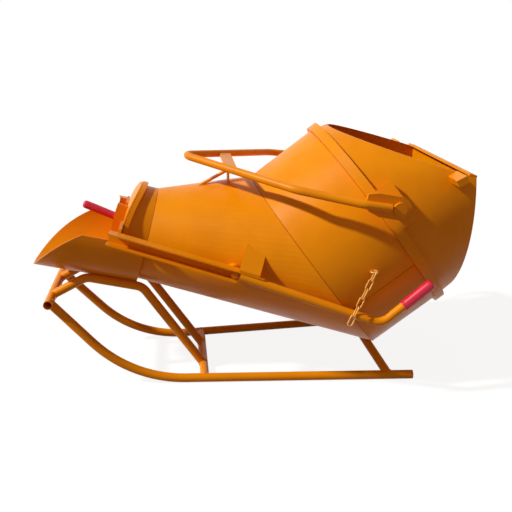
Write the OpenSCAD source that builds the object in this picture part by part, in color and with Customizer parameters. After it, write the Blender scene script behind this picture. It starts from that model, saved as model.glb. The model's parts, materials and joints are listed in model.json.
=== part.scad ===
// Lay-down concrete bucket on a sledge frame: drum, tapered spout, chute, sector gate and lifting bail.
// Millimetres. X runs from the chute to the drum, Y across, Z up from the ground.
// Positions are measured from the middle cross tube, then moved to the middle of the footprint.

/* [Drum] */
// Outer radius of the drum
drum_r = 493; // [480:1:510]
// Lean of the drum axis above level, degrees
drum_lean = 36.6; // [34:0.2:38]
// Middle of the strap behind the middle cross tube
drum_x = 839; // [820:1:850]
// Middle of the strap above the ground
drum_z = 723; // [715:1:745]
// Drum length from the spout seam to the strap
drum_len = 370; // [350:2:380]
// Half angle of the tapered rear shell, degrees
rear_taper = 10.4; // [9:0.2:13]
// Fall of the rear shell's axis below the drum axis, degrees
rear_drop = 7.4; // [6:0.2:9]
// Slope of the mouth, degrees
mouth_slope = 17.2; // [16:0.2:20]
// Front corner of the mouth behind the strap
mouth_back = 55; // [44:1:60]
// Back plate behind the middle of the strap
back_run = 312; // [305:1:335]
// Thickness of the drum and spout sheet
sheet_t = 5; // [4:0.5:6]
// Thickness of the back plate
plate_t = 6; // [5:0.5:8]
// Width of the bar along the top of the back plate
top_bar_w = 34; // [28:1:40]
// Thickness of that bar
top_bar_t = 10; // [8:1:12]
// Width of the strap around the drum
strap_w = 44; // [40:1:54]
// Thickness of the strap
strap_t = 18; // [14:1:20]

/* [Spout] */
// Outer radius of the spout's small end
neck_r = 215; // [208:1:232]
// Small end ahead of the middle cross tube
neck_run = 244; // [235:1:260]
// Middle of the small end above the ground
neck_z = 651; // [626:1:660]
// Fall of the spout's small end towards the drum, degrees
neck_tilt = 15.5; // [14.5:0.25:16]
// Outer radius of the chute
chute_r = 230; // [227:1:236]
// Chute sheet thickness
chute_t = 6; // [5:0.5:8]
// Fall of the chute towards the drum, degrees
chute_tilt = 12.8; // [12:0.2:15]
// Chute axis below the middle of the spout's small end
chute_drop = 3; // [2:0.5:5]
// Chute length from the small end to the tip
chute_len = 487; // [455:1:495]
// Straight chute edge from the small end to the curved cut
chute_edge_len = 279; // [265:1:290]
// Height of the chute edge over the chute axis
chute_edge_h = 6; // [3:1:21]
// Bulge of the curved cut from its chord
chute_bulge = 20; // [10:1:30]
// Outer radius of the arched gate flange
flange_r = 232; // [229:1:256]
// Thickness of the arched gate flange
flange_t = 18; // [12:1:22]

/* [Gate] */
// Gate pivot behind the middle cross tube
pivot_x = 133; // [128:1:138]
// Gate pivot above the ground
pivot_z = 576; // [556:1:582]
// Radius of the gate seat about the pivot
gate_r = 495; // [490:1:508]
// Gate sheet thickness
skin_t = 6; // [5:0.5:8]
// Gap between the gate and its seat
skin_gap = 1.5; // [1:0.25:2]
// Outline radius of the gate above the chute edges
skin_top_r = 228; // [224:1:240]
// Depth of the rib on the gate
rib_d = 48; // [40:1:54]
// Thickness of the rib
rib_t = 16; // [12:1:20]
// Rise of the gate arms towards the gate, degrees
arm_tilt = 16; // [15.5:0.25:17.5]
// Splay of the gate arms, degrees
arm_splay = 10; // [9.5:0.25:10.5]
// Inner face of each arm beyond the spout's side at the pivot
arm_y = 44; // [42:1:50]
// Arm length from the pivot to the gate end
arm_len = 553; // [545:1:572]
// Arm channel height
arm_h = 54; // [50:1:58]
// Arm channel flange width
arm_w = 50; // [46:1:52]
// Arm channel thickness
arm_t = 6; // [5:0.5:7]
// Pivot pin radius
pivot_r = 12; // [11:0.5:13]
// Radial running clearance of the pivots
pivot_gap = 0.05; // [0.03:0.01:0.08]

/* [Handles] */
// Outer radius of the lever tube
lever_r = 18.5; // [17:0.5:19]
// Outer radius of the handle tube
handle_r = 13.5; // [12.5:0.5:14.5]
// Lever length from the pivot to its bend
lever_len = 657; // [640:1:670]
// Fall of the lever below the line of its arm, degrees
lever_drop = 2.25; // [1.5:0.25:3]
// Upturn of the lever at its bend, degrees
lever_turn = 58.5; // [56:0.5:66]
// Inward lean of the lever's upturned end, degrees
lever_lean = 9; // [6:0.5:11]
// Bend radius of the lever
lever_bend = 66; // [54:1:70]
// Lever length after the bend
lever_end = 270; // [244:1:280]
// Outer radius of the handle's grip
grip_r = 19; // [18:0.5:20]
// Outer radius of the lever's grip
lever_grip_r = 24.5; // [23:0.5:26]
// Length of the hand grips
grip_len = 155; // [150:1:160]
// Handle length beyond the gate
handle_len = 190; // [182:1:196]
// Rise of the gate handle, degrees
handle_tilt = 24.5; // [23:0.5:26]

/* [Bail] */
// Bail pivot behind the middle cross tube
bail_x = 790; // [782:1:798]
// Bail pivot above the ground
bail_z = 875; // [868:1:882]
// Rise of the resting bail towards its nose, degrees
bail_tilt = 9.4; // [9.2:0.1:9.6]
// Bail bar radius
bail_r = 17; // [12:0.5:18]
// Length from the pivot to the nose, corner to corner
bail_len = 873; // [860:1:885]
// Length from the pivot to the shoulders
bail_shoulder = 409; // [400:1:420]
// Half width of the bail at its shoulders
bail_half = 457; // [450:1:465]
// Inner face of the bail end plates beyond the drum's side
bail_y = 37; // [35:1:41]
// Thickness of the bail end plates
bail_plate_t = 12; // [10:1:14]
// Half height of the bail end plates
bail_plate_h = 48; // [44:1:52]
// Trunnion pin radius
trunnion_r = 20; // [18:0.5:22]
// Trunnion pin head radius
trunnion_head = 27; // [25:0.5:29]
// Distance from the trunnion to the stop lugs
lug_run = 285; // [280:1:290]

/* [Sledge] */
// Tube radius of the sledge
tube_r = 20.5; // [18:0.5:22]
// Wall of the sledge tubes
tube_t = 3; // [2:0.5:4]
// Half spacing of the runners at the middle cross tube
runner_half = 264; // [256:1:272]
// Splay of the runners towards the back, degrees
runner_splay = 4.35; // [4:0.05:4.7]
// Runner tails behind the middle cross tube
tail_x = 968; // [950:1:985]
// Front cross tube ahead of the middle one
front_run = 682; // [670:1:694]
// Front cross tube above the ground
front_z = 404; // [396:1:412]
// Half length of the front cross tube
front_half = 250; // [246:1:256]
// Upturn of the runners, degrees
runner_turn = 48; // [46:0.5:50]
// Bend radius of the runners
runner_bend = 560; // [540:5:620]
// Half spacing of the two rails under the chute
rail_half = 116; // [110:1:122]
// Rise of the rails from the front cross tube, degrees
rail_rise = 27; // [25:0.5:29]
// Fall of the rails to the middle cross tube, degrees
rail_fall = 56; // [54:0.5:58]
// Bend radius of the rails
rail_bend = 70; // [60:1:80]
// Rear legs' foot behind the middle cross tube
leg_x = 855; // [840:1:864]

/* [Chain] */
// Chain wire radius
wire_r = 3; // [2.75:0.25:3.25]
// Inner length of a link
link_in = 42; // [40:1:44]
// Inner width of a link
link_w = 14; // [13:0.5:16]
// Number of links
links = 6; // [4:1:6]
// Lean of the chain in side view, degrees
chain_lean = 27; // [24:1:30]
// Outward lean of the chain over the lever, degrees
chain_out = 8; // [4.5:0.5:10]

/* [View] */
// Sub-part to draw

/* [Hidden] */
$fn = 96;
paint = [0.90, 0.50, 0.02];
grip_red = [0.80, 0.06, 0.10];
zinc = [0.85, 0.55, 0.15];
// overrun of every cut
over = 2;
// cores where straight and bent lengths of tube join, and the hairline between the lengths
joint_in = 0.02;
joint_half = 3;
// room around the whole part, for half spaces
room = 3000;

// drum directions in side view: along the axis, and square to it
dax = [cos(drum_lean), sin(drum_lean)];
dup = [-sin(drum_lean), cos(drum_lean)];
seam_p = [drum_x, drum_z] - drum_len * dax;
back_x = drum_x + back_run;
// the rear shell's cone meets the drum at its top and bottom; its tip lies behind and below
taper = tan(rear_taper);
top_taper = tan(rear_taper + rear_drop);
low_taper = tan(rear_taper - rear_drop);
apex_run = 2 * drum_r / (top_taper + low_taper);
apex_fall = drum_r - apex_run * low_taper;
rear_reach = apex_run / cos(rear_drop) + drum_r * tan(rear_drop);
rear_len = 2 * drum_r;
mouth_p = [drum_x, drum_z] + mouth_back * dax + (drum_r - mouth_back * top_taper) * dup;
edge_p = [back_x, mouth_p[1] - (back_x - mouth_p[0]) * tan(mouth_slope)];
edge_from = [apex_run - (edge_p - [drum_x, drum_z]) * dax, apex_fall + (edge_p - [drum_x, drum_z]) * dup];
edge_along = edge_from * [cos(rear_drop), sin(rear_drop)];
edge_up = edge_from * [-sin(rear_drop), cos(rear_drop)];
edge_half = sqrt(pow(edge_along * taper, 2) - edge_up * edge_up);

// neck directions in side view: along the axis towards the drum, and square to it
nax = [cos(neck_tilt), -sin(neck_tilt)];
nup = [sin(neck_tilt), cos(neck_tilt)];
neck_p = [-neck_run, neck_z];

// chute directions in side view, its tip, and the round cut from the tip to the straight edges
cax = [cos(chute_tilt), -sin(chute_tilt)];
cup = [sin(chute_tilt), cos(chute_tilt)];
chute_p = neck_p - chute_drop * nup;
function chute_at(s, h) = chute_p + s * cax + h * cup;
tip = chute_at(-chute_len, -chute_r);
cut_turn = atan2(chute_edge_h + chute_r, chute_len - chute_edge_len);
cut_chord = norm([chute_edge_h + chute_r, chute_len - chute_edge_len]);
cut_r = pow(cut_chord / 2, 2) / (2 * chute_bulge) + chute_bulge / 2;
cut_along = cut_chord / 2 * cos(cut_turn) + (cut_r - chute_bulge) * sin(cut_turn);
cut_up = cut_chord / 2 * sin(cut_turn) - (cut_r - chute_bulge) * cos(cut_turn);
cut_p = chute_at(cut_along - chute_len, cut_up - chute_r);

// the whole part moves so that its footprint's middle is the origin
x_max = back_x + plate_t + top_bar_t * sin(mouth_slope);
shift_x = -(tip[0] + x_max) / 2;

// gate
skin_r = gate_r + skin_gap;
skin_out = skin_r + skin_t;
skin_lap = 4;
skin_low_r = neck_r + skin_lap;
skin_step = chute_edge_h + 2 * skin_gap;
rib_r = skin_out + rib_d;
rib_top_angle = 8.5;
rib_low_angle = -24;
bracket_d = 12;
bracket_low_angle = -1;
bracket_top_angle = 5.5;
bracket_in_share = 0.8;
pivot_p = [pivot_x, pivot_z];
pivot_share = norm(pivot_p - neck_p) / (norm(pivot_p - neck_p) + norm(seam_p - pivot_p));
arm_in = neck_r + pivot_share * (drum_r - neck_r) + arm_y;
arm_back = 18;
tongue = 125;
bush_r = 20;
bush_gap = 1;
boss_r = 30;
boss_back = 6;
bush_out = 20;
boss_y = arm_in - boss_back;
bush_end = arm_in + bush_out;
nut_r = 19;
nut_h = 12;
nut_sides = 6;
pin_root = 14;
pin_end = 4;
stop_gap = 0.5;
stop_t = 6;
stop_rise = 104;
stop_from = 106;
stop_to = 16;

// lever and handle
lever_v = 38;
lever_sink = 2.5;
lever_w = arm_h / 2 - arm_t - lever_r + lever_sink;
lever_wall = 3;
lever_start = 26;
grip_cap = 4;
handle_sink = 2;
handle_from = skin_out + 4;
handle_angle = 0.7;
handle_y = rib_t / 2 + handle_r - handle_sink;

// trunnions
tr = [bail_x, bail_z];
tr_rel = tr - [drum_x, drum_z];
tr_along = tr_rel * dax;
tr_up = tr_rel * dup;
strap_r = drum_r + strap_t;
tr_elev = asin(tr_up / strap_r);
pad_front = strap_w / 2;
pad_back = 44;
pad_low = 11;
pad_high = 11;
pad_depth = 70;
boss_big = 38;
bail_in = drum_r + bail_y;
boss_gap = 1;
boss_end = bail_in - boss_gap;
pin_in = 24;
head_h = 14;
head_gap = 1;
bar_sink = 2;
bar_y = bail_in + bail_plate_t + bail_r - bar_sink;
bar_start = 40;
bar_straight = 150;
bend_small = 90;
bend_large = 120;
bend_nose = 60;
plate_nose_shares = [[-2, 1.05], [-2.9, 0.85], [-3, 0], [-2.6, -0.6], [-1.65, -0.95]];
cross_back = 211;
cross_at = bail_len - cross_back;
cross_w = 55;
cross_t = 10;
cross_half = (bail_len - cross_at) * bail_half / (bail_len - bail_shoulder);

// bail rest
rest_x = bail_x - cross_at * cos(bail_tilt);
rest_z = bail_z + cross_at * sin(bail_tilt) - cross_t / 2;
rest_w = 50;
rest_t = 10;
rest_gap = 0.5;
rest_deep = 140;
post_top = rest_z - rest_t / 2 * tan(bail_tilt) - rest_gap;
brace_w = 30;
brace_run = 172;
brace_low = 126;
brace_top = 35;

// stop lugs
lug_dir = 20;
lug_face = 27;
lug_l = 46;
lug_h = 30;
lug_past = 19;
lug_deep = 165;

// sledge
weld_gap = 0.2;
rail_d = chute_r + tube_r + weld_gap;
rail_h = sqrt(rail_d * rail_d - rail_half * rail_half);
tan_c = tan(chute_tilt);
rail_mid = chute_p[1] + chute_p[0] * tan_c - rail_h / cos(chute_tilt);
v1x = (rail_mid - front_z - front_run * tan(rail_rise)) / (tan(rail_rise) + tan_c);
v1z = front_z + (v1x + front_run) * tan(rail_rise);
v2x = (tube_r - rail_mid) / (tan(rail_fall) - tan_c);
v2z = tube_r - v2x * tan(rail_fall);
runner_v = -front_run + (front_z - tube_r) / tan(runner_turn);
csp = cos(runner_splay);
leg_y = runner_half + leg_x * tan(runner_splay);
leg_ahead = 32;
leg_top = drum_len + leg_ahead;
leg_top_y = 150;
leg_top_h = sqrt(drum_r * drum_r - leg_top_y * leg_top_y);
leg_head = [drum_x, drum_z] - leg_top * dax - leg_top_h * dup;
leg_deep = 0.2;

// chain
eye_back = 179;
eye_elev = -2.6;
eye_wire = 4;
eye_r = 15;
eye_stand = 16;
link_gap = 0.4;
hang_gap = 1.2;
link_bend = link_w / 2 + wire_r;
link_half = link_in / 2 - link_w / 2;
eye_c = [drum_x - eye_back * dax[0] + drum_r * sin(eye_elev) * dup[0], -drum_r * cos(eye_elev) - eye_stand,
    drum_z - eye_back * dax[1] + drum_r * sin(eye_elev) * dup[1]];
pitch = link_in - link_gap;

// frames
module placed() {
    translate([shift_x, 0, 0]) children();
}

module drum_frame() {
    translate([drum_x, 0, drum_z]) rotate([0, 90 - drum_lean, 0]) children();
}

module neck_frame() {
    translate([neck_p[0], 0, neck_p[1]]) rotate([0, 90 + neck_tilt, 0]) children();
}

module chute_frame() {
    translate([chute_p[0], 0, chute_p[1]]) rotate([0, 90 + chute_tilt, 0]) children();
}

// gate frame: X from the pivot to the gate along the neck, Z square to it
module gate_frame() {
    translate([pivot_x, 0, pivot_z]) rotate([0, neck_tilt, 0]) mirror([1, 0, 0]) children();
}

// arm frame of the left side: X from the pivot to the gate, Y outwards, Z up; the other side mirrors it
module arm_frame(side) {
    mirror([0, side > 0 ? 1 : 0, 0]) translate([pivot_x, -arm_in, pivot_z])
        rotate([0, arm_tilt, -arm_splay]) rotate([0, 0, 180]) children();
}

module bail_frame() {
    translate([bail_x, 0, bail_z]) rotate([0, bail_tilt, 0]) children();
}

module runner_frame(side) {
    mirror([0, side > 0 ? 1 : 0, 0]) translate([0, -runner_half, 0]) rotate([0, 0, -runner_splay]) children();
}

module both() {
    children();
    mirror([0, 1, 0]) children();
}

// a round bar from p to q, or a tube where a wall is given
module rod(p, q, r, wall = 0) {
    d = q - p;
    translate(p) rotate([0, acos(d[2] / norm(d)), atan2(d[1], d[0])]) {
        if (wall == 0) cylinder(r = r, h = norm(d));
        else difference() {
            cylinder(r = r, h = norm(d));
            translate([0, 0, -over]) cylinder(r = r - wall, h = norm(d) + 2 * over);
        }
    }
}

function unit(v) = v / norm(v);
function turn_of(a, b, c) = acos(unit(a - b) * unit(c - b));
function run_of(a, b, c, br) = br / tan(turn_of(a, b, c) / 2);
function leave(pts, brs, i) = i == 0 ? pts[0]
    : pts[i] + unit(pts[i + 1] - pts[i]) * run_of(pts[i - 1], pts[i], pts[i + 1], brs[i - 1]);
function reach(pts, brs, i) = i == len(pts) - 1 ? pts[i]
    : pts[i] + unit(pts[i - 1] - pts[i]) * run_of(pts[i - 1], pts[i], pts[i + 1], brs[i - 1]);

// a round bar or tube along a flat path, with a bend radius at each inner corner
// a core inside joins each straight to its bend
module bar_path(pts, brs, r, wall = 0) {
    last = len(pts) - 2;
    for (i = [0 : last]) {
        d = unit(pts[i + 1] - pts[i]);
        a = leave(pts, brs, i) + (i == 0 ? 0 : joint_in) * d;
        b = reach(pts, brs, i + 1) - (i == last ? 0 : joint_in) * d;
        rod([a[0], a[1], 0], [b[0], b[1], 0], r, wall);
    }
    for (i = [1 : last]) {
        br = brs[i - 1];
        u1 = unit(pts[i - 1] - pts[i]);
        u2 = unit(pts[i + 1] - pts[i]);
        inner = turn_of(pts[i - 1], pts[i], pts[i + 1]);
        c = pts[i] + unit(u1 + u2) * br / sin(inner / 2);
        left = u1[0] * u2[1] - u1[1] * u2[0] < 0;
        from = left ? reach(pts, brs, i) : leave(pts, brs, i);
        short = joint_in / br * 180 / PI;
        translate([c[0], c[1], 0]) rotate([0, 0, atan2(from[1] - c[1], from[0] - c[0]) + short])
            rotate_extrude(angle = 180 - inner - 2 * short) translate([br, 0]) difference() {
                circle(r = r);
                if (wall > 0) circle(r = r - wall);
            }
        joint_core(reach(pts, brs, i), u1, r, wall);
        joint_core(leave(pts, brs, i), u2, r, wall);
    }
}

module joint_core(p, d, r, wall) {
    a = p - joint_half * d;
    b = p + joint_half * d;
    rod([a[0], a[1], 0], [b[0], b[1], 0], wall > 0 ? r - wall / 2 : r / 2, wall);
}

// the same path in side view: the second number is the height
module side_path(pts, brs, r, wall = 0) {
    rotate([90, 0, 0]) bar_path(pts, brs, r, wall);
}

// half spaces and solids used for trimming
module above_mouth() {
    translate([mouth_p[0], -room / 2, mouth_p[1]]) rotate([0, mouth_slope, 0])
        translate([-room / 2, 0, 0]) cube(room);
}

module behind_back(x) {
    translate([x, -room / 2, -room / 2]) cube(room);
}

// the rear shell's whole cone, in the drum frame, where X is down
module rear_cone(inset = 0) {
    translate([apex_fall, 0, apex_run]) rotate([0, rear_drop, 0]) translate([0, 0, -rear_reach])
        cylinder(r1 = rear_reach * taper - inset, r2 = (rear_reach - rear_len) * taper - inset, h = rear_len);
}

module behind_strap() {
    translate([-room / 2, -room / 2, 0]) cube(room);
}

module drum_solid() {
    drum_frame() {
        translate([0, 0, -drum_len]) cylinder(r = drum_r, h = drum_len);
        intersection() {
            rear_cone();
            behind_strap();
        }
    }
}

module cone_solid(inset, past) {
    hull() {
        drum_frame() translate([0, 0, -drum_len - over]) cylinder(r = drum_r - inset, h = over + past);
        neck_frame() translate([0, 0, -past]) cylinder(r = neck_r - inset, h = over + past);
    }
}

module seat_cylinder(r) {
    translate([pivot_x, 0, pivot_z]) rotate([90, 0, 0]) cylinder(r = r, h = room, center = true);
}

module neck_bar(r) {
    neck_frame() translate([0, 0, -room / 2]) cylinder(r = r, h = room / 2);
}

// everything ahead of the small end, or of a plane beside it
module ahead_of_neck(s) {
    neck_frame() translate([-room / 2, -room / 2, s - room]) cube(room);
}

// everything above a height over the chute axis
module above_chute(h) {
    translate([chute_p[0], 0, chute_p[1]]) rotate([0, chute_tilt, 0])
        translate([-room / 2, -room / 2, h]) cube(room);
}

module chute_bar(r) {
    chute_frame() translate([0, 0, -room / 2]) cylinder(r = r, h = room);
}

module sector(r_in, r_out, low, high, width) {
    rotate([90, 0, 0]) rotate([0, 0, low]) rotate_extrude(angle = high - low)
        translate([r_in, -width / 2]) square([r_out - r_in, width]);
}

// spout
module spout_cone() {
    color(paint) placed() difference() {
        cone_solid(0, 0);
        cone_solid(sheet_t, over);
    }
}

module spout_collar() {
    color(paint) placed() difference() {
        intersection() {
            neck_bar(neck_r);
            seat_cylinder(gate_r);
        }
        translate([over * nax[0], 0, over * nax[1]]) neck_bar(neck_r - sheet_t);
    }
}

module gate_flange() {
    color(paint) placed() difference() {
        intersection() {
            neck_bar(flange_r);
            seat_cylinder(gate_r);
            above_chute(chute_edge_h);
        }
        translate([over * nax[0], 0, over * nax[1]]) neck_bar(neck_r);
        seat_cylinder(gate_r - flange_t);
    }
}

// trough with a rounded cut at its front, closed around the collar by an end wall
module discharge_chute() {
    color(paint) placed() difference() {
        intersection() {
            chute_bar(chute_r);
            ahead_of_neck(0);
            translate([cut_p[0], 0, cut_p[1]]) rotate([90, 0, 0]) cylinder(r = cut_r, h = room, center = true);
        }
        intersection() {
            chute_bar(chute_r - chute_t);
            ahead_of_neck(-chute_t);
        }
        translate([over * nax[0], 0, over * nax[1]]) neck_bar(neck_r);
        above_chute(chute_edge_h);
    }
}

// drum
module drum_shell() {
    color(paint) placed() drum_frame() difference() {
        translate([0, 0, -drum_len]) cylinder(r = drum_r, h = drum_len);
        translate([0, 0, -drum_len - over]) cylinder(r = drum_r - sheet_t, h = drum_len + 2 * over);
    }
}

module drum_rear_shell() {
    color(paint) placed() difference() {
        drum_frame() intersection() {
            rear_cone();
            behind_strap();
        }
        drum_frame() rear_cone(sheet_t);
        above_mouth();
        behind_back(back_x);
    }
}

module back_plate() {
    color(paint) placed() difference() {
        intersection() {
            drum_frame() rear_cone();
            translate([back_x, -room / 2, 0]) cube([plate_t, room, room]);
        }
        above_mouth();
    }
}

module back_plate_bar() {
    long = plate_t / cos(mouth_slope);
    color(paint) placed() translate([edge_p[0], -edge_half, edge_p[1]]) rotate([0, mouth_slope, 0])
        translate([long - top_bar_w, 0, 0]) cube([top_bar_w, 2 * edge_half, top_bar_t]);
}

// both pads as solid sectors, with their inner side left deep; grow makes them a cut
module pad_sectors(grow = 0) {
    for (turn = [-90 - tr_elev - pad_high, 90 + tr_elev - pad_low])
        rotate([0, 0, turn]) rotate_extrude(angle = pad_low + pad_high)
            translate([strap_r - pad_depth, -pad_front - grow])
                square([pad_depth + grow, pad_front + tr_along + pad_back + grow]);
}

module drum_strap() {
    color(paint) placed() difference() {
        drum_frame() translate([0, 0, -strap_w / 2]) difference() {
            cylinder(r = strap_r, h = strap_w);
            translate([0, 0, -over]) cylinder(r = drum_r, h = strap_w + 2 * over);
        }
        drum_frame() pad_sectors(over);
    }
}

module trunnion_pads() {
    color(paint) placed() difference() {
        drum_frame() pad_sectors();
        drum_solid();
    }
}

module trunnion_bosses() {
    color(paint) placed() difference() {
        both() translate([bail_x, -boss_end, bail_z]) rotate([-90, 0, 0]) difference() {
            cylinder(r = boss_big, h = boss_end - drum_r + pad_depth);
            translate([0, 0, -over]) cylinder(r = trunnion_r, h = pin_in + over);
        }
        drum_solid();
        drum_frame() pad_sectors();
    }
}

module trunnion_pins() {
    head_y = bail_in + bail_plate_t + head_gap;
    color(zinc) placed() both() translate([bail_x, -head_y, bail_z]) rotate([-90, 0, 0]) {
        cylinder(r = trunnion_r, h = head_y - boss_end + pin_in);
        translate([0, 0, -head_h]) cylinder(r = trunnion_head, h = head_h);
    }
}

// bail
bail_pts = [[-bar_start, -bar_y], [-bar_straight, -bar_y], [-bail_shoulder, -bail_half], [-bail_len, 0],
    [-bail_shoulder, bail_half], [-bar_straight, bar_y], [-bar_start, bar_y]];
bail_bends = [bend_small, bend_large, bend_nose, bend_large, bend_small];

module end_plate_solids() {
    both() translate([0, -bail_in, 0]) rotate([90, 0, 0]) linear_extrude(bail_plate_t) difference() {
        union() {
            circle(r = bail_plate_h);
            polygon(concat([[0, bail_plate_h]], bail_plate_h * plate_nose_shares, [[0, -bail_plate_h]]));
        }
        circle(r = trunnion_r + pivot_gap);
    }
}

module bail_bow() {
    color(paint) placed() bail_frame() difference() {
        bar_path(bail_pts, bail_bends, bail_r);
        end_plate_solids();
    }
}

module bail_end_plates() {
    color(paint) placed() bail_frame() end_plate_solids();
}

module bail_cross_plate() {
    color(paint) placed() bail_frame() difference() {
        translate([-cross_at - cross_w / 2, -cross_half - bail_r, -cross_t / 2])
            cube([cross_w, 2 * cross_half + 2 * bail_r, cross_t]);
        both() {
            rod([-bail_len, 0, 0], [-bail_shoulder, bail_half, 0], bail_r);
            translate([-bail_len, 0, -over * bail_r])
                rotate([0, 0, atan2(bail_half, bail_len - bail_shoulder)])
                    cube([bail_len, bail_len, 2 * over * bail_r]);
        }
    }
}

module bail_rest_post() {
    color(paint) placed() difference() {
        translate([rest_x - rest_t / 2, -rest_w / 2, post_top - rest_deep]) cube([rest_t, rest_w, rest_deep]);
        cone_solid(0, 0);
    }
}

module bail_rest_brace() {
    foot = [rest_x - brace_run, rest_z - brace_low];
    head = [rest_x, rest_z - brace_top];
    color(paint) placed() difference() {
        translate([foot[0], -brace_w / 2, foot[1]])
            rotate([0, -atan2(head[1] - foot[1], head[0] - foot[0]), 0])
                translate([-rest_t, 0, -rest_t / 2]) cube([norm(head - foot) + rest_t, brace_w, rest_t]);
        cone_solid(0, 0);
        translate([rest_x - rest_t / 2, -rest_w, 0]) cube([room, 2 * rest_w, room]);
    }
}

module bail_stop_lugs() {
    c = tr + lug_run * [cos(lug_dir), sin(lug_dir)];
    color(paint) placed() difference() {
        both() translate([c[0], -drum_r - lug_past, c[1]]) rotate([0, -lug_face, 0])
            translate([-lug_l / 2, 0, -lug_h / 2]) cube([lug_l, lug_past + lug_deep, lug_h]);
        drum_solid();
    }
}

// gate
module gate_skin() {
    color(paint) placed() intersection() {
        difference() {
            seat_cylinder(skin_out);
            seat_cylinder(skin_r);
        }
        union() {
            neck_bar(skin_low_r);
            intersection() {
                neck_bar(skin_top_r);
                above_chute(skin_step);
            }
        }
    }
}

module gate_rib() {
    color(paint) placed() gate_frame() sector(skin_out, rib_r, rib_low_angle, rib_top_angle, rib_t);
}

module gate_brackets() {
    color(paint) placed() both() difference() {
        gate_frame() intersection() {
            sector(skin_out, skin_out + bracket_d, bracket_low_angle, bracket_top_angle, room);
            translate([0, -arm_in, -room / 2]) cube([room, arm_in - bracket_in_share * skin_low_r, room]);
        }
        arm_frame(-1) translate([-room / 2, 0, -room / 2]) cube(room);
    }
}

module arm_channel(upper_back) {
    translate([-arm_back, 0, -arm_h / 2]) cube([arm_len + arm_back, arm_t, arm_h]);
    translate([-arm_back, 0, -arm_h / 2]) cube([arm_len + arm_back, arm_w, arm_t]);
    translate([-upper_back, 0, arm_h / 2 - arm_t]) cube([arm_len + upper_back, arm_w, arm_t]);
}

module bush_hole() {
    translate([pivot_x, 0, pivot_z]) rotate([90, 0, 0]) cylinder(r = bush_r, h = room, center = true);
}

module gate_arm_left() {
    color(paint) placed() difference() {
        arm_frame(-1) arm_channel(tongue);
        bush_hole();
    }
}

module gate_arm_right() {
    color(paint) placed() difference() {
        arm_frame(1) arm_channel(arm_back);
        bush_hole();
    }
}

module gate_pivot_bosses() {
    color(paint) placed() difference() {
        both() translate([pivot_x, -boss_y, pivot_z]) rotate([-90, 0, 0]) difference() {
            cylinder(r = boss_r, h = boss_y - neck_r);
            translate([0, 0, -over]) cylinder(r = pivot_r, h = pin_root + over);
        }
        cone_solid(0, 0);
    }
}

module gate_pivot_bushes() {
    color(paint) placed() both() translate([pivot_x, -bush_end, pivot_z]) rotate([-90, 0, 0]) difference() {
        cylinder(r = bush_r, h = bush_end - boss_y - bush_gap);
        translate([0, 0, -over]) cylinder(r = pivot_r + pivot_gap, h = bush_end);
    }
}

module gate_pivot_pins() {
    long = bush_end + bush_gap + nut_h + pin_end - boss_y;
    color(zinc) placed() both() translate([pivot_x, -boss_y - long, pivot_z]) rotate([-90, 0, 0])
        cylinder(r = pivot_r, h = long + pin_root);
}

module gate_pivot_nuts() {
    color(zinc) placed() both() translate([pivot_x, -bush_end - bush_gap - nut_h, pivot_z]) rotate([-90, 0, 0])
        difference() {
            cylinder(r = nut_r, h = nut_h, $fn = nut_sides);
            translate([0, 0, -over]) cylinder(r = pivot_r, h = nut_h + 2 * over);
        }
}

module gate_stop() {
    low = arm_h / 2 + stop_gap;
    lean = stop_t * sqrt(2);
    color(paint) placed() difference() {
        arm_frame(-1) translate([-stop_from, 0, 0]) rotate([90, 0, 90]) linear_extrude(stop_from - stop_to)
            polygon([[arm_w, low], [arm_w, low + lean], [arm_w - stop_rise, low + lean + stop_rise],
                [arm_w - stop_rise, low + stop_rise], [arm_w - lean, low]]);
        cone_solid(0, 0);
    }
}

// lever, handle and grips
lever_pts = [[-lever_start, 0], [-lever_len, 0],
    [-lever_len - lever_end * cos(lever_turn), lever_end * sin(lever_turn)]];

module lever_frame() {
    arm_frame(-1) translate([0, lever_v, lever_w]) rotate([0, -lever_drop, 0]) rotate([lever_lean, 0, 0])
        children();
}

module gate_lever() {
    color(paint) placed() difference() {
        lever_frame() side_path(lever_pts, [lever_bend], lever_r, lever_wall);
        arm_frame(-1) translate([-tongue, 0, arm_h / 2 - arm_t]) cube([tongue, arm_w, arm_t]);
    }
}

// a closed grip over a tube, whose open end is at the origin, along Z
module grip_solid(r, tube, hold) {
    difference() {
        union() {
            cylinder(r = r, h = grip_len - r / 2);
            translate([0, 0, grip_len - r / 2]) cylinder(r1 = r, r2 = tube, h = r / 2);
        }
        translate([0, 0, -over]) cylinder(r = tube, h = hold + over);
    }
}

module lever_grip() {
    color(grip_red) placed() lever_frame()
        translate([lever_pts[2][0], 0, lever_pts[2][1]]) rotate([0, lever_turn - 90, 0])
            translate([0, 0, grip_cap - grip_len]) grip_solid(lever_grip_r, lever_r, grip_len - grip_cap);
}

module handle_frame() {
    gate_frame() rotate([0, -handle_angle, 0]) translate([handle_from, handle_y, 0])
        rotate([0, 90 - handle_tilt + neck_tilt + handle_angle, 0]) children();
}

module gate_handle() {
    color(paint) placed() difference() {
        handle_frame() difference() {
            cylinder(r = handle_r, h = handle_len);
            translate([0, 0, -over]) cylinder(r = handle_r - lever_wall, h = handle_len + 2 * over);
        }
        gate_frame() sector(skin_out, rib_r, rib_low_angle, rib_top_angle, rib_t);
        seat_cylinder(skin_out);
    }
}

module handle_grip() {
    color(grip_red) placed() difference() {
        handle_frame() translate([0, 0, handle_len + grip_cap - grip_len])
            grip_solid(grip_r, handle_r, grip_len - grip_cap);
        gate_frame() sector(skin_out, rib_r, rib_low_angle, rib_top_angle, rib_t);
    }
}

// chain
module chain_eye() {
    color(zinc) placed() difference() {
        translate(eye_c) rotate_extrude() translate([eye_r, 0]) circle(r = eye_wire);
        drum_solid();
    }
}

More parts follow.
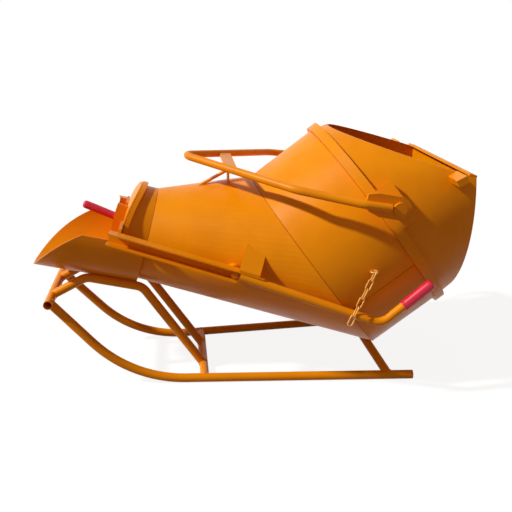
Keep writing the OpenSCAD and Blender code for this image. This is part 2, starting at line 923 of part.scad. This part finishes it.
module link() {
    for (end = [0, 180])
        rotate([0, end, 0]) translate([0, 0, link_half]) rotate([90, 0, 0])
            rotate_extrude(angle = 180) translate([link_bend, 0]) circle(r = wire_r);
    for (side = [-1, 1])
        translate([side * link_bend, 0, -link_half]) cylinder(r = wire_r, h = 2 * link_half);
}

// Z of this frame runs up the chain from the outermost wire of the eye
module chain_frame() {
    translate(eye_c - [0, eye_r, 0]) rotate([-chain_out, chain_lean, 0]) children();
}

module safety_chain() {
    first = (eye_wire + wire_r + hang_gap) / cos(chain_lean) - link_half - link_bend;
    color(zinc) placed() chain_frame() for (i = [0 : links - 1])
        translate([0, 0, first - i * pitch]) rotate([0, 0, 90 * ((i + 1) % 2)]) link();
}

// sledge
runner_pts = [[tail_x / csp, tube_r], [runner_v / csp, tube_r], [-front_run / csp, front_z]];

// the runner's straight part on the ground, as a cut in what meets it
module runner_bar(side) {
    runner_frame(side) rod([-tail_x, 0, tube_r], [tail_x, 0, tube_r], tube_r + weld_gap);
}

module front_solid(r) {
    translate([-front_run, 0, front_z]) rotate([90, 0, 0]) cylinder(r = r, h = 2 * front_half, center = true);
}

module middle_solid(r) {
    translate([0, 0, tube_r]) rotate([90, 0, 0]) cylinder(r = r, h = 2 * runner_half, center = true);
}

module runner(side) {
    color(paint) placed() difference() {
        runner_frame(side) side_path(runner_pts, [runner_bend], tube_r, tube_t);
        front_solid(tube_r + weld_gap);
    }
}

module runner_left() {
    runner(-1);
}

module runner_right() {
    runner(1);
}

module front_cross_tube() {
    color(paint) placed() difference() {
        front_solid(tube_r);
        translate([-front_run, 0, front_z]) rotate([90, 0, 0])
            cylinder(r = tube_r - tube_t, h = 2 * front_half + 2 * over, center = true);
    }
}

module middle_cross_tube() {
    color(paint) placed() difference() {
        middle_solid(tube_r);
        translate([0, 0, tube_r]) rotate([90, 0, 0])
            cylinder(r = tube_r - tube_t, h = 2 * runner_half + 2 * over, center = true);
        runner_bar(-1);
        runner_bar(1);
    }
}

rail_pts = [[-front_run, front_z], [v1x, v1z], [v2x, v2z], [0, tube_r]];

module rail(side) {
    color(paint) placed() difference() {
        translate([0, side * rail_half, 0]) side_path(rail_pts, [rail_bend, rail_bend], tube_r, tube_t);
        front_solid(tube_r + weld_gap);
        middle_solid(tube_r + weld_gap);
    }
}

module rail_left() {
    rail(-1);
}

module rail_right() {
    rail(1);
}

module rear_leg(side) {
    foot = [leg_x, side * leg_y, tube_r];
    head = [leg_head[0], side * leg_top_y, leg_head[1]];
    past = head + leg_deep * (head - foot);
    color(paint) placed() difference() {
        rod(foot, past, tube_r, tube_t);
        runner_bar(side);
        cone_solid(0, 0);
    }
}

module rear_leg_left() {
    rear_leg(-1);
}

module rear_leg_right() {
    rear_leg(1);
}

spout_cone();
spout_collar();
gate_flange();
discharge_chute();
drum_shell();
drum_rear_shell();
back_plate();
back_plate_bar();
drum_strap();
trunnion_pads();
trunnion_bosses();
trunnion_pins();
bail_bow();
bail_end_plates();
bail_cross_plate();
bail_rest_post();
bail_rest_brace();
bail_stop_lugs();
gate_skin();
gate_rib();
gate_brackets();
gate_arm_left();
gate_arm_right();
gate_pivot_bosses();
gate_pivot_bushes();
gate_pivot_pins();
gate_pivot_nuts();
gate_stop();
gate_lever();
lever_grip();
gate_handle();
handle_grip();
chain_eye();
safety_chain();
runner_left();
runner_right();
front_cross_tube();
middle_cross_tube();
rail_left();
rail_right();
rear_leg_left();
rear_leg_right();
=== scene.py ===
import json
import math

import bmesh
import bpy
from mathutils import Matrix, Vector
from mathutils.bvhtree import BVHTree


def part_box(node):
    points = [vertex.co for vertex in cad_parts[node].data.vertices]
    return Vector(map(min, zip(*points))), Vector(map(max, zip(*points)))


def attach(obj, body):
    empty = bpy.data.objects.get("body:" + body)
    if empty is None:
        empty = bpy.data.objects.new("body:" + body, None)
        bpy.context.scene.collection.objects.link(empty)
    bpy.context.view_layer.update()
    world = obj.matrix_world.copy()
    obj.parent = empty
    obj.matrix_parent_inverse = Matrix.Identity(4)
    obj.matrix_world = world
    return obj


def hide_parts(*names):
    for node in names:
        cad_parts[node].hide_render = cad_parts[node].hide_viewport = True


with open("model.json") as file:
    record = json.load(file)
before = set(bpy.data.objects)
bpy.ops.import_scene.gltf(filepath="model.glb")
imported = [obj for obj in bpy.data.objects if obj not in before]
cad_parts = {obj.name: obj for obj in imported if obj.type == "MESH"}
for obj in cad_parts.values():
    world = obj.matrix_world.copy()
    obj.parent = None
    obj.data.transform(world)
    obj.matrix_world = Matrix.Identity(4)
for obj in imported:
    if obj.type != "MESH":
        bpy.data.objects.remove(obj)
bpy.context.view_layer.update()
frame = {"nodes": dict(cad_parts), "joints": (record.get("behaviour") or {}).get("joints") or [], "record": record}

# Sizes in metres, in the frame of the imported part. They repeat the values of the part's source.
DRUM_AT = Vector((0.64435, 0.0, 0.723))
DRUM_LEAN = math.radians(36.6)
DRUM_R = 0.493
DRUM_LEN = 0.370
STRAP_HALF = 0.022
NECK_AT = Vector((-0.43865, 0.0, 0.651))
NECK_TILT = math.radians(15.5)
NECK_R = 0.215
FLANGE_T = 0.018
SEAT_R = 0.495
SEAT_EDGE = 0.018
TUBE_R = 0.0205
FRONT_TUBE = Vector((-0.87665, 0.0, 0.404))
MIDDLE_X = -0.19465
RUNNER_HALF = 0.264
RUNNER_SPLAY = math.radians(4.35)
RUNNER_TURN = math.radians(48.0)
RAIL_HALF = 0.116
RAIL_RISE = math.radians(27.0)
RAIL_FALL = math.radians(56.0)
LEG_FOOT = Vector((0.66035, 0.32904, 0.0205))
LEG_HEAD = Vector((0.60162, 0.150, 0.10629))
BAIL_TILT = math.radians(9.4)
BAIL_PLATE_Y = 0.542
BAIL_BAR_FROM = 0.040
BAIL_BAR_TO = 0.140
LEVER_GRIP_R = 0.0245
HANDLE_GRIP_R = 0.019

# Seams and welds
RING_SEAM_R = 0.0016
COLLAR_SEAM_R = 0.0015
LENGTH_SEAM_R = 0.0014
LENGTH_SEAM_TURN = math.radians(-14.0)
STRAP_SEAM_GAP = 0.0004
TUBE_WELD_R = 0.003
SHEET_WELD_R = 0.004
BAIL_WELD_R = 0.0042
BAIL_WELD_OUT = 0.002
BAIL_WELD_UP = 0.011
RIPPLE_SHARE = 1.9
RIPPLE_STEPS = 3
FLOOR_CLEAR_SHARE = 1.25
RUNNER_REACH = 0.2
RAIL_REACH = 0.1

# Grips: places near their open ends, and shares of length and radius from the open end to the closed one
LEVER_GRIP_OPEN = Vector((0.35, -0.5, 0.3))
HANDLE_GRIP_OPEN = Vector((-0.55, 0.0, 0.6))
GRIP_SIDES = 32
GRIP_TIP_R = 0.0004
GRIP_PROFILE = [
    (0.0, 0.72), (0.0, 0.93), (0.006, 1.0), (0.03, 1.0), (0.05, 0.965), (0.10, 0.955), (0.5, 0.975),
    (0.86, 0.985), (0.93, 0.96), (0.965, 0.86), (0.988, 0.66), (1.0, 0.32), (1.0, 0.0)]

# Photo's camera: a level view from the left side, 1.58 m above the ground
CAMERA_AT = Vector((-0.28700, -3.23923, 1.57966))
CAMERA_YAW = math.radians(6.3429)
CAMERA_PITCH = math.radians(18.0305)
CAMERA_LENS = 50.0
CAMERA_SENSOR = 36.0

# Light and floor
SUN_FROM = Vector((-0.76, -0.11, 0.64))
SUN_ENERGY = 3.3
SUN_ANGLE = math.radians(3.0)
SUN_COLOUR = (1.0, 0.97, 0.92)
WORLD_FILL = (0.25, 0.185, 0.135)
WORLD_SEEN = (1.0, 1.0, 1.0)
FLOOR_HALF = 40.0
FLOOR_BOUNCE = (0.26, 0.20, 0.15)
FLOOR_SEEN = (0.92, 0.92, 0.92)
FLOOR_GLOW = 1.08
FLOOR_GLOW_SHARE = 0.82

SHARP_FROM = math.radians(25.0)
SIDES = ((-1, "left"), (1, "right"))

JOINT_AT = {j["name"]: Vector(j["pos_m"]) for j in frame["joints"]}
DRUM_AXIS = Vector((math.cos(DRUM_LEAN), 0.0, math.sin(DRUM_LEAN)))
DRUM_UP = Vector((-math.sin(DRUM_LEAN), 0.0, math.cos(DRUM_LEAN)))
NECK_AXIS = Vector((math.cos(NECK_TILT), 0.0, -math.sin(NECK_TILT)))
NECK_UP = Vector((math.sin(NECK_TILT), 0.0, math.cos(NECK_TILT)))
SIDE = Vector((0.0, 1.0, 0.0))


# Materials

def new_material(name):
    material = bpy.data.materials.new(name)
    material.use_nodes = True
    tree = material.node_tree
    return material, tree, tree.nodes["Principled BSDF"]


def noise(tree, scale, detail=2.0, rough=0.5):
    """Noise in the part's own coordinates, so that it moves with the part."""
    where = tree.nodes.new("ShaderNodeTexCoord")
    texture = tree.nodes.new("ShaderNodeTexNoise")
    texture.inputs["Scale"].default_value = scale
    texture.inputs["Detail"].default_value = detail
    texture.inputs["Roughness"].default_value = rough
    tree.links.new(where.outputs["Object"], texture.inputs["Vector"])
    return texture.outputs["Fac"]


def ramp(tree, value, stops):
    node = tree.nodes.new("ShaderNodeValToRGB")
    elements = node.color_ramp.elements
    while len(elements) < len(stops):
        elements.new(0.5)
    for element, (place, colour) in zip(elements, stops):
        element.position = place
        element.color = (*colour, 1.0)
    tree.links.new(value, node.inputs["Fac"])
    return node.outputs["Color"]


def spread(tree, value, low, high):
    """Maps noise, which lies around a half, to low..high."""
    node = tree.nodes.new("ShaderNodeMapRange")
    node.inputs["From Min"].default_value = 0.3
    node.inputs["From Max"].default_value = 0.7
    node.inputs["To Min"].default_value = low
    node.inputs["To Max"].default_value = high
    tree.links.new(value, node.inputs["Value"])
    return node.outputs["Result"]


def bump(tree, value, strength, distance, under=None):
    node = tree.nodes.new("ShaderNodeBump")
    node.inputs["Strength"].default_value = strength
    node.inputs["Distance"].default_value = distance
    tree.links.new(value, node.inputs["Height"])
    if under is not None:
        tree.links.new(under, node.inputs["Normal"])
    return node.outputs["Normal"]


def paint(name, dark, light):
    """Gloss paint on rolled sheet: broad tone changes, faint waves in the sheet, and orange peel."""
    material, tree, shader = new_material(name)
    tone = ramp(tree, noise(tree, scale=5.0, detail=4.0, rough=0.6), [(0.30, dark), (0.70, light)])
    tree.links.new(tone, shader.inputs["Base Color"])
    gloss = spread(tree, noise(tree, scale=9.0, detail=5.0, rough=0.6), low=0.30, high=0.44)
    tree.links.new(gloss, shader.inputs["Roughness"])
    shader.inputs["Specular IOR Level"].default_value = 0.14
    waves = bump(tree, noise(tree, scale=7.0, detail=1.0), strength=0.12, distance=0.01)
    peel = bump(tree, noise(tree, scale=420.0), strength=0.05, distance=0.0006, under=waves)
    tree.links.new(peel, shader.inputs["Normal"])
    return material


def grip_plastic(name):
    """Dipped red plastic: soft gloss with a faint mottle."""
    material, tree, shader = new_material(name)
    tone = ramp(tree, noise(tree, scale=60.0, detail=3.0),
                [(0.3, (0.62, 0.006, 0.035)), (0.7, (0.74, 0.012, 0.055))])
    tree.links.new(tone, shader.inputs["Base Color"])
    gloss = spread(tree, noise(tree, scale=90.0, detail=3.0), low=0.30, high=0.46)
    tree.links.new(gloss, shader.inputs["Roughness"])
    grain = bump(tree, noise(tree, scale=500.0), strength=0.08, distance=0.0005)
    tree.links.new(grain, shader.inputs["Normal"])
    return material


def zinc_plate(name):
    """Yellow passivated zinc on wire, uneven from link to link."""
    material, tree, shader = new_material(name)
    tone = ramp(tree, noise(tree, scale=45.0, detail=3.0),
                [(0.30, (0.60, 0.26, 0.035)), (0.55, (0.82, 0.41, 0.075)), (0.75, (0.94, 0.58, 0.17))])
    tree.links.new(tone, shader.inputs["Base Color"])
    shader.inputs["Metallic"].default_value = 0.3
    gloss = spread(tree, noise(tree, scale=140.0, detail=3.0), low=0.28, high=0.5)
    tree.links.new(gloss, shader.inputs["Roughness"])
    grain = bump(tree, noise(tree, scale=700.0), strength=0.1, distance=0.0004)
    tree.links.new(grain, shader.inputs["Normal"])
    return material


PAINT = paint("orange_paint", dark=(0.79, 0.255, 0.0006), light=(0.89, 0.305, 0.001))
# The seams take a darker orange than the paint: painted shade, as of the groove along a seam.
SEAM_SHADE_PAINT = paint("seam_painted_shade", dark=(0.42, 0.095, 0.002), light=(0.55, 0.135, 0.003))
# The weld beads take a lighter orange than the paint: painted highlight, as of the bright spots along the welds.
BEAD_HIGHLIGHT_PAINT = paint("weld_painted_highlight", dark=(0.80, 0.27, 0.001), light=(0.94, 0.36, 0.004))
GRIP = grip_plastic("red_grip")
ZINC = zinc_plate("yellow_zinc")
FINISH = {"orange_paint": PAINT, "red_grip": GRIP, "yellow_zinc": ZINC}


def finish_nodes():
    """Each CAD node takes the finish of its slot, and shades its curved faces smoothly."""
    for part in frame["record"]["subparts"]:
        node = frame["nodes"][part["node"]]
        node.data.materials.clear()
        node.data.materials.append(FINISH[part["material_slot"]])
        node.data.shade_smooth()
        node.data.set_sharp_from_angle(angle=SHARP_FROM)


# Lines and meshes

def ring(centre, axis, radius, count):
    """Points on a circle around an axis of length one."""
    u = axis.orthogonal().normalized()
    v = axis.cross(u)
    turns = [2 * math.pi * k / count for k in range(count)]
    return [centre + radius * (math.cos(t) * u + math.sin(t) * v) for t in turns]


def circle(centre, axis_u, axis_v, radius, count=180):
    turns = [2 * math.pi * k / count for k in range(count)]
    return [centre + radius * (math.cos(t) * axis_u + math.sin(t) * axis_v) for t in turns]


def resample(path, step, closed):
    """Points at even steps along a path."""
    points = list(path) + ([path[0]] if closed else [])
    lengths = [0.0]
    for a, b in zip(points, points[1:]):
        lengths.append(lengths[-1] + (b - a).length)
    count = max(3, round(lengths[-1] / step))
    result, i = [], 0
    for k in range(count if closed else count + 1):
        at = lengths[-1] * k / count
        while i < len(points) - 2 and lengths[i + 1] < at:
            i += 1
        share = (at - lengths[i]) / max(lengths[i + 1] - lengths[i], 1e-9)
        result.append(points[i].lerp(points[i + 1], min(max(share, 0.0), 1.0)))
    return result


def saddle(start, end, radius, on, along, on_radius, count=48):
    """The line where a tube from start to end first meets a cylinder around on, along along."""
    d = (end - start).normalized()
    along = along.normalized()
    flat_d = d - along * d.dot(along)
    points = []
    for p in ring(start, d, radius, count):
        rel = (p - on) - along * (p - on).dot(along)
        a, b, c = flat_d.length_squared, rel.dot(flat_d), rel.length_squared - on_radius ** 2
        root = math.sqrt(max(b * b - a * c, 0.0))
        points.append(p + d * ((-b - root) / a))
    return points


def landing(start, end, radius, node, count=48):
    """The line where a tube from start towards end meets the surface of a node."""
    mesh = frame["nodes"][node].data
    tree = BVHTree.FromPolygons([v.co for v in mesh.vertices], [f.vertices for f in mesh.polygons])
    d = (end - start).normalized()
    hits = [tree.ray_cast(p, d)[0] for p in ring(start, d, radius, count)]
    return [h for h in hits if h is not None]


def loft_faces(rings, sides, closed, last_turn=0):
    """Quads between rings of vertices, with flat ends, or closed by a joint that turns by last_turn."""
    faces = []
    for i in range(rings if closed else rings - 1):
        j = (i + 1) % rings
        turn = last_turn if j == 0 else 0
        for k in range(sides):
            k2 = (k + 1) % sides
            faces.append((i * sides + k, i * sides + k2, j * sides + (k2 + turn) % sides,
                          j * sides + (k + turn) % sides))
    if not closed:
        faces.append(tuple(range(sides)))
        faces.append(tuple((rings - 1) * sides + k for k in range(sides)))
    return faces


def tube_mesh(points, radius_at, closed, sides=8):
    """A tube whose radius may change from ring to ring."""
    count = len(points)
    vertices = []
    across = None
    for i, p in enumerate(points):
        before = points[i - 1] if (closed or i > 0) else p
        after = points[(i + 1) % count] if (closed or i < count - 1) else p
        along = (after - before).normalized()
        if across is None:
            across = along.orthogonal().normalized()
        across = (across - along * across.dot(along)).normalized()
        vertices += circle(p, across, along.cross(across), radius_at(i), sides)
    last = vertices[(count - 1) * sides]
    nearest = min(range(sides), key=lambda s: (last - vertices[s]).length)
    return vertices, loft_faces(count, sides, closed, nearest)


def add_piece(name, mesh_data, material, body):
    vertices, faces = mesh_data
    mesh = bpy.data.meshes.new(name)
    mesh.from_pydata([tuple(v) for v in vertices], [], faces)
    mesh.validate()
    work = bmesh.new()
    work.from_mesh(mesh)
    bmesh.ops.recalc_face_normals(work, faces=work.faces)
    work.to_mesh(mesh)
    work.free()
    mesh.shade_smooth()
    mesh.materials.append(material)
    piece = bpy.data.objects.new(name, mesh)
    bpy.context.scene.collection.objects.link(piece)
    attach(piece, body)
    return piece


def bead(name, path, radius, body, closed=False):
    """A weld bead: a rippled tube along a path, half sunk in its corner and clear of the floor, in a lighter
    orange that is painted highlight.
    """
    points = resample(path, RIPPLE_SHARE * radius / RIPPLE_STEPS, closed)
    for p in points:
        p.z = max(p.z, FLOOR_CLEAR_SHARE * radius)
    last = len(points) - 1

    def radius_at(i):
        wave = 1 + 0.13 * math.cos(2 * math.pi * i / RIPPLE_STEPS) + 0.06 * math.sin(i * 0.37)
        fade = 1.0 if closed else min(1.0, 0.45 + 0.2 * min(i, last - i))
        return radius * wave * fade

    return add_piece(name, tube_mesh(points, radius_at, closed), BEAD_HIGHLIGHT_PAINT, body)


def seam(name, path, radius, body, closed=False, step=0.012, sides=6):
    """A dressed seam: a low even line of weld, in a darker orange that is painted shade, as of a groove along it.
    """
    points = resample(path, step, closed)
    return add_piece(name, tube_mesh(points, lambda i: radius, closed, sides), SEAM_SHADE_PAINT, body)


# Hopper

def hopper_seams():
    front = DRUM_AT - DRUM_LEN * DRUM_AXIS
    seam("seam_drum", circle(front, SIDE, DRUM_UP, DRUM_R), RING_SEAM_R, "bucket", True)
    seam("seam_collar", circle(NECK_AT, SIDE, NECK_UP, NECK_R), COLLAR_SEAM_R, "bucket", True)
    out = math.sin(LENGTH_SEAM_TURN) * DRUM_UP - math.cos(LENGTH_SEAM_TURN) * SIDE
    line = [DRUM_AT + DRUM_R * out - s * DRUM_AXIS for s in (STRAP_HALF, DRUM_LEN)]
    seam("seam_length", line, LENGTH_SEAM_R, "bucket")
    # A dark line just beside the strap: painted shade of the gap at its edge.
    edge = DRUM_AT - (STRAP_HALF + STRAP_SEAM_GAP) * DRUM_AXIS
    seam("seam_strap", circle(edge, SIDE, DRUM_UP, DRUM_R), RING_SEAM_R, "bucket", True)


def flange_weld(steps=60):
    """A bead along the arched flange, in its rear corner with the collar."""
    pivot = JOINT_AT["gate_swing"]
    low = math.asin(SEAT_EDGE / NECK_R)
    points = []
    for k in range(steps + 1):
        turn = low + (math.pi - 2 * low) * k / steps
        p = NECK_AT + NECK_R * (math.cos(turn) * SIDE + math.sin(turn) * NECK_UP)
        rel = p - pivot
        rel.y = 0.0
        b, c = rel.dot(NECK_AXIS), rel.length_squared - (SEAT_R - FLANGE_T) ** 2
        points.append(p + NECK_AXIS * (-b - math.sqrt(b * b - c)))
    bead("weld_flange_back", points, SHEET_WELD_R, "bucket")


# Sledge

def tube_weld(name, start, end, on, along):
    """A bead where a tube from start to end meets another tube, which runs through on."""
    bead(name, saddle(start, end, TUBE_R, on, along, TUBE_R), TUBE_WELD_R, "bucket", True)


def front_welds(side, tag, runner):
    y = side * (RUNNER_HALF - (MIDDLE_X - FRONT_TUBE.x) * math.tan(RUNNER_SPLAY))
    front = Vector((FRONT_TUBE.x, y, FRONT_TUBE.z))
    back = front + runner * RUNNER_REACH - Vector((0.0, 0.0, RUNNER_REACH * math.tan(RUNNER_TURN)))
    tube_weld(f"weld_runner_front_{tag}", back, front, FRONT_TUBE, SIDE)
    rail_front = Vector((FRONT_TUBE.x, side * RAIL_HALF, FRONT_TUBE.z))
    rail_from = rail_front + Vector((RAIL_REACH, 0.0, RAIL_REACH * math.tan(RAIL_RISE)))
    tube_weld(f"weld_rail_front_{tag}", rail_from, rail_front, FRONT_TUBE, SIDE)


def middle_welds(side, tag, runner):
    middle = Vector((MIDDLE_X, side * RAIL_HALF, TUBE_R))
    rail_high = middle + Vector((-RAIL_REACH, 0.0, RAIL_REACH * math.tan(RAIL_FALL)))
    tube_weld(f"weld_rail_middle_{tag}", rail_high, middle, middle, SIDE)
    cross = Vector((MIDDLE_X, side * RUNNER_HALF, TUBE_R))
    tube_weld(f"weld_cross_{tag}", Vector((MIDDLE_X, 0.0, TUBE_R)), cross, cross, runner)


def leg_welds(side, tag, runner):
    foot = Vector((LEG_FOOT.x, side * LEG_FOOT.y, LEG_FOOT.z))
    head = Vector((LEG_HEAD.x, side * LEG_HEAD.y, LEG_HEAD.z))
    tube_weld(f"weld_leg_foot_{tag}", head, foot, foot, runner)
    top = landing(foot, head, TUBE_R, "spout_cone")
    bead(f"weld_leg_head_{tag}", top, SHEET_WELD_R, "bucket", True)


def sledge_welds():
    for side, tag in SIDES:
        runner = Vector((math.cos(RUNNER_SPLAY), side * math.sin(RUNNER_SPLAY), 0.0))
        front_welds(side, tag, runner)
        middle_welds(side, tag, runner)
        leg_welds(side, tag, runner)


# Bail

def bail_welds():
    """Two beads along each end of the bar, where it lies on its end plate."""
    pivot = JOINT_AT["bail_swing"]
    along = Vector((-math.cos(BAIL_TILT), 0.0, math.sin(BAIL_TILT)))
    up = Vector((math.sin(BAIL_TILT), 0.0, math.cos(BAIL_TILT)))
    for side, tag in SIDES:
        for way, edge in ((-1, "low"), (1, "high")):
            at = Vector((pivot.x, side * (BAIL_PLATE_Y + BAIL_WELD_OUT), pivot.z)) + way * BAIL_WELD_UP * up
            line = [at + BAIL_BAR_FROM * along, at + BAIL_BAR_TO * along]
            bead(f"weld_bail_{tag}_{edge}", line, BAIL_WELD_R, "bail")


# Grips

def long_axis(node):
    """The middle line of a long round node, from its vertices: both ends."""
    points = [v.co.copy() for v in frame["nodes"][node].data.vertices]
    low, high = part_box(node)
    middle = (low + high) / 2
    axis = max(points, key=lambda p: (p - middle).length) - middle
    for _ in range(20):
        pull = Vector()
        for p in points:
            rel = p - middle
            pull += rel * rel.dot(axis)
        axis = pull.normalized()
    runs = [(p - middle).dot(axis) for p in points]
    return middle + min(runs) * axis, middle + max(runs) * axis


def grip(name, node, radius, open_end_near, body):
    """A dipped grip: open end with a rolled lip, a faint swell, and a round closed end."""
    a, b = long_axis(node)
    if (b - open_end_near).length < (a - open_end_near).length:
        a, b = b, a
    length = (b - a).length
    d = (b - a).normalized()
    vertices = []
    for share, size in GRIP_PROFILE:
        vertices += ring(a + d * (share * length), d, max(size * radius, GRIP_TIP_R), GRIP_SIDES)
    faces = loft_faces(len(GRIP_PROFILE), GRIP_SIDES, False)
    piece = add_piece(name, (vertices, faces), GRIP, body)
    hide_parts(node)
    return piece


# Stage

def greater(tree, a, b):
    node = tree.nodes.new("ShaderNodeMath")
    node.operation = "MAXIMUM"
    tree.links.new(a, node.inputs[0])
    tree.links.new(b, node.inputs[1])
    return node.outputs[0]


def seen_directly(tree):
    """One for what the camera, gloss or clear pieces show, and nought for light on the part."""
    rays = tree.nodes.new("ShaderNodeLightPath").outputs
    first = greater(tree, rays["Is Camera Ray"], rays["Is Glossy Ray"])
    return greater(tree, first, rays["Is Transmission Ray"])


def colour_mix(tree, share, low, high):
    """Low where share is nought, high where it is one."""
    # A colour mix has its two colours at inputs 6 and 7, and its result at output 2
    node = tree.nodes.new("ShaderNodeMix")
    node.data_type = "RGBA"
    node.inputs[6].default_value = (*low, 1.0)
    node.inputs[7].default_value = (*high, 1.0)
    tree.links.new(share, node.inputs[0])
    return node.outputs[2]


def floor_material():
    """White where it is seen, with a faint shadow, and a warm grey in the light that it throws back."""
    material = bpy.data.materials.new("floor")
    material.use_nodes = True
    tree = material.node_tree
    tree.nodes.clear()
    seen = seen_directly(tree)
    share = tree.nodes.new("ShaderNodeMath")
    share.operation = "MULTIPLY"
    share.inputs[1].default_value = FLOOR_GLOW_SHARE
    tree.links.new(seen, share.inputs[0])
    matt = tree.nodes.new("ShaderNodeBsdfDiffuse")
    tree.links.new(colour_mix(tree, seen, FLOOR_BOUNCE, FLOOR_SEEN), matt.inputs["Color"])
    glow = tree.nodes.new("ShaderNodeEmission")
    glow.inputs["Strength"].default_value = FLOOR_GLOW
    mix = tree.nodes.new("ShaderNodeMixShader")
    tree.links.new(share.outputs[0], mix.inputs["Fac"])
    tree.links.new(matt.outputs[0], mix.inputs[1])
    tree.links.new(glow.outputs[0], mix.inputs[2])
    out = tree.nodes.new("ShaderNodeOutputMaterial")
    tree.links.new(mix.outputs[0], out.inputs["Surface"])
    return material


def build_floor():
    corners = ((-1, -1), (1, -1), (1, 1), (-1, 1))
    mesh = bpy.data.meshes.new("floor")
    mesh.from_pydata([(x * FLOOR_HALF, y * FLOOR_HALF, 0.0) for x, y in corners], [], [(0, 1, 2, 3)])
    mesh.materials.append(floor_material())
    floor = bpy.data.objects.new("floor", mesh)
    bpy.context.scene.collection.objects.link(floor)


def build_world():
    """White where it is seen, and an even warm fill for the rest."""
    world = bpy.data.worlds.new("studio")
    bpy.context.scene.world = world
    world.use_nodes = True
    tree = world.node_tree
    tone = colour_mix(tree, seen_directly(tree), WORLD_FILL, WORLD_SEEN)
    tree.links.new(tone, tree.nodes["Background"].inputs["Color"])


def build_sun():
    lamp = bpy.data.lights.new("key", "SUN")
    lamp.energy = SUN_ENERGY
    lamp.angle = SUN_ANGLE
    lamp.color = SUN_COLOUR
    sun = bpy.data.objects.new("key", lamp)
    sun.rotation_euler = SUN_FROM.to_track_quat("Z", "Y").to_euler()
    bpy.context.scene.collection.objects.link(sun)


def build_camera():
    data = bpy.data.cameras.new("camera")
    data.lens = CAMERA_LENS
    data.sensor_width = CAMERA_SENSOR
    camera = bpy.data.objects.new("camera", data)
    camera.location = CAMERA_AT
    camera.rotation_euler = (math.pi / 2 - CAMERA_PITCH, 0.0, -CAMERA_YAW)
    bpy.context.scene.collection.objects.link(camera)
    bpy.context.scene.camera = camera


bpy.context.scene.view_settings.view_transform = "Standard"
build_camera()
build_world()
build_sun()
build_floor()
finish_nodes()
hopper_seams()
flange_weld()
sledge_welds()
bail_welds()
grip("lever_grip_dipped", "lever_grip", LEVER_GRIP_R, LEVER_GRIP_OPEN, "gate")
grip("handle_grip_dipped", "handle_grip", HANDLE_GRIP_R, HANDLE_GRIP_OPEN, "gate")
